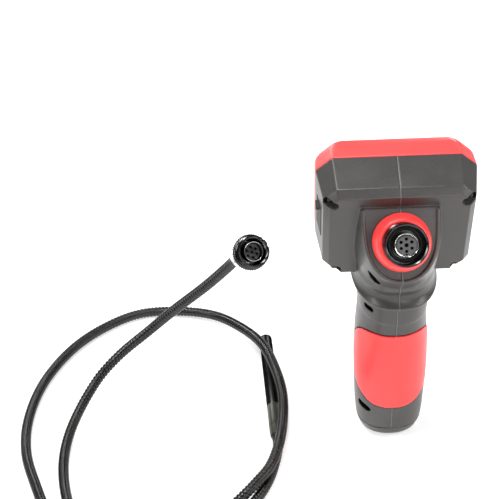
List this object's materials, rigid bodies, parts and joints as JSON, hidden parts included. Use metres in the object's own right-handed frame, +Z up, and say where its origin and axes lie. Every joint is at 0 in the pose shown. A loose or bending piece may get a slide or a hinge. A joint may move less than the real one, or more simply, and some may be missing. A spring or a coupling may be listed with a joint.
{
  "type": "inspection camera",
  "caption": "Pistol-shaped inspection camera handset with a tilted screen head, standing on its handle, and a detachable gooseneck cable with screw plug and imager.",
  "frame": {"origin": "middle of the flat base of the handle", "axes": "+Z up the handle, +Y towards the side that the screen faces, -Y towards the side that the connector faces, +X to the right as seen from the connector side"},
  "size_m": [0.3156, 0.2717, 0.2276],
  "materials": {
    "charcoal_abs": "fine moulded texture, satin",
    "coral_rubber": "soft satin overmould",
    "black_rubber": "matte",
    "key_rubber": "soft matte",
    "black_plastic": "satin",
    "screen_glass": "hard-coated, glossy",
    "display_panel": "dark glass panel",
    "circuit_board": "solder mask",
    "tinned_steel": "tinned",
    "dark_screw": "black oxide",
    "cell_wrap": "printed shrink wrap",
    "black_metal": "black anodised, satin",
    "bright_ring": "polished nickel",
    "insert_plastic": "glass-filled, matte",
    "satin_ferrule": "satin, bright",
    "gooseneck_black": "black coated wound steel",
    "imager_black": "black anodised",
    "olive_sleeve": "dark olive, satin",
    "led_board": "white board with clear lamps",
    "lens_glass": "clear, coated"
  },
  "bodies": {
    "handset": {"left_housing": "charcoal_abs", "right_housing": "charcoal_abs", "base_cap": "charcoal_abs", "screen_bumper": "coral_rubber", "grip_overmould": "coral_rubber", "connector_collar": "coral_rubber", "keypad_mat": "black_rubber", "socket_seal": "black_rubber", "screen_frame": "black_plastic", "battery_cradle": "black_plastic", "screen_window": "screen_glass", "display_module": "display_panel", "main_board": "circuit_board", "processor_shield": "tinned_steel", "usb_port": "tinned_steel", "card_reader": "tinned_steel", "contact_bridge": "tinned_steel", "contact_spring_1": "tinned_steel", "contact_spring_2": "tinned_steel", "head_screw_1": "dark_screw", "head_screw_2": "dark_screw", "head_screw_3": "dark_screw", "head_screw_4": "dark_screw", "handle_screw_1": "dark_screw", "handle_screw_2": "dark_screw", "handle_screw_3": "dark_screw", "battery_cell_1": "cell_wrap", "battery_cell_2": "cell_wrap", "battery_cell_3": "cell_wrap", "battery_cell_4": "cell_wrap", "socket_shell": "black_metal", "socket_ring": "bright_ring", "socket_insert": "insert_plastic"},
    "battery_door": {"battery_door": "charcoal_abs"},
    "battery_latch": {"battery_latch": "black_rubber"},
    "port_cover": {"port_cover": "black_rubber"},
    "cable": {"gooseneck": "gooseneck_black", "plug_body": "black_metal", "plug_ring": "bright_ring", "plug_insert": "insert_plastic", "plug_ferrule": "satin_ferrule", "imager_sleeve": "olive_sleeve", "imager_body": "imager_black", "led_ring": "led_board", "lens_window": "lens_glass"},
    "plug_nut": {"plug_nut": "black_metal"},
    "power_button": {"power_button": "key_rubber"},
    "menu_button": {"menu_button": "key_rubber"},
    "capture_button": {"capture_button": "key_rubber"},
    "zoom_button": {"zoom_button": "key_rubber"},
    "light_button": {"light_button": "key_rubber"}
  },
  "joints": [
    {"name": "battery_door_hinge", "type": "hinge", "parent": "handset", "child": "battery_door", "pos_m": [0, 0.0252, 0.0206], "axis": [-1, 0, 0], "range_deg": [0, 75]},
    {"name": "battery_latch_slide", "type": "slide", "parent": "battery_door", "child": "battery_latch", "axis": [0, 0, -1], "range_m": [0, 0.0025], "stiffness_N_per_m": 300},
    {"name": "port_cover_hinge", "type": "hinge", "parent": "handset", "child": "port_cover", "pos_m": [-0.0506, -0.00589, 0.17313], "axis": [0, -0.9703, -0.2419], "range_deg": [0, 110]},
    {"name": "cable_lift", "type": "slide", "parent": "handset", "child": "cable", "axis": [0, 0, 1], "range_m": [0, 0.1]},
    {"name": "plug_nut_turn", "type": "hinge", "parent": "cable", "child": "plug_nut", "pos_m": [-0.0908, -0.0471, 0.186], "axis": [0.2601, -0.7401, 0.6201], "continuous": true},
    {"name": "power_button_press", "type": "slide", "parent": "handset", "child": "power_button", "axis": [0, -0.9703, -0.2419], "range_m": [0, 0.0008], "stiffness_N_per_m": 600},
    {"name": "menu_button_press", "type": "slide", "parent": "handset", "child": "menu_button", "axis": [0, -0.9703, -0.2419], "range_m": [0, 0.0008], "stiffness_N_per_m": 600},
    {"name": "capture_button_press", "type": "slide", "parent": "handset", "child": "capture_button", "axis": [0, -0.9703, -0.2419], "range_m": [0, 0.0008], "stiffness_N_per_m": 600},
    {"name": "zoom_button_press", "type": "slide", "parent": "handset", "child": "zoom_button", "axis": [0, -0.9703, -0.2419], "range_m": [0, 0.0008], "stiffness_N_per_m": 600},
    {"name": "light_button_press", "type": "slide", "parent": "handset", "child": "light_button", "axis": [0, -0.9703, -0.2419], "range_m": [0, 0.0008], "stiffness_N_per_m": 600}
  ]
}
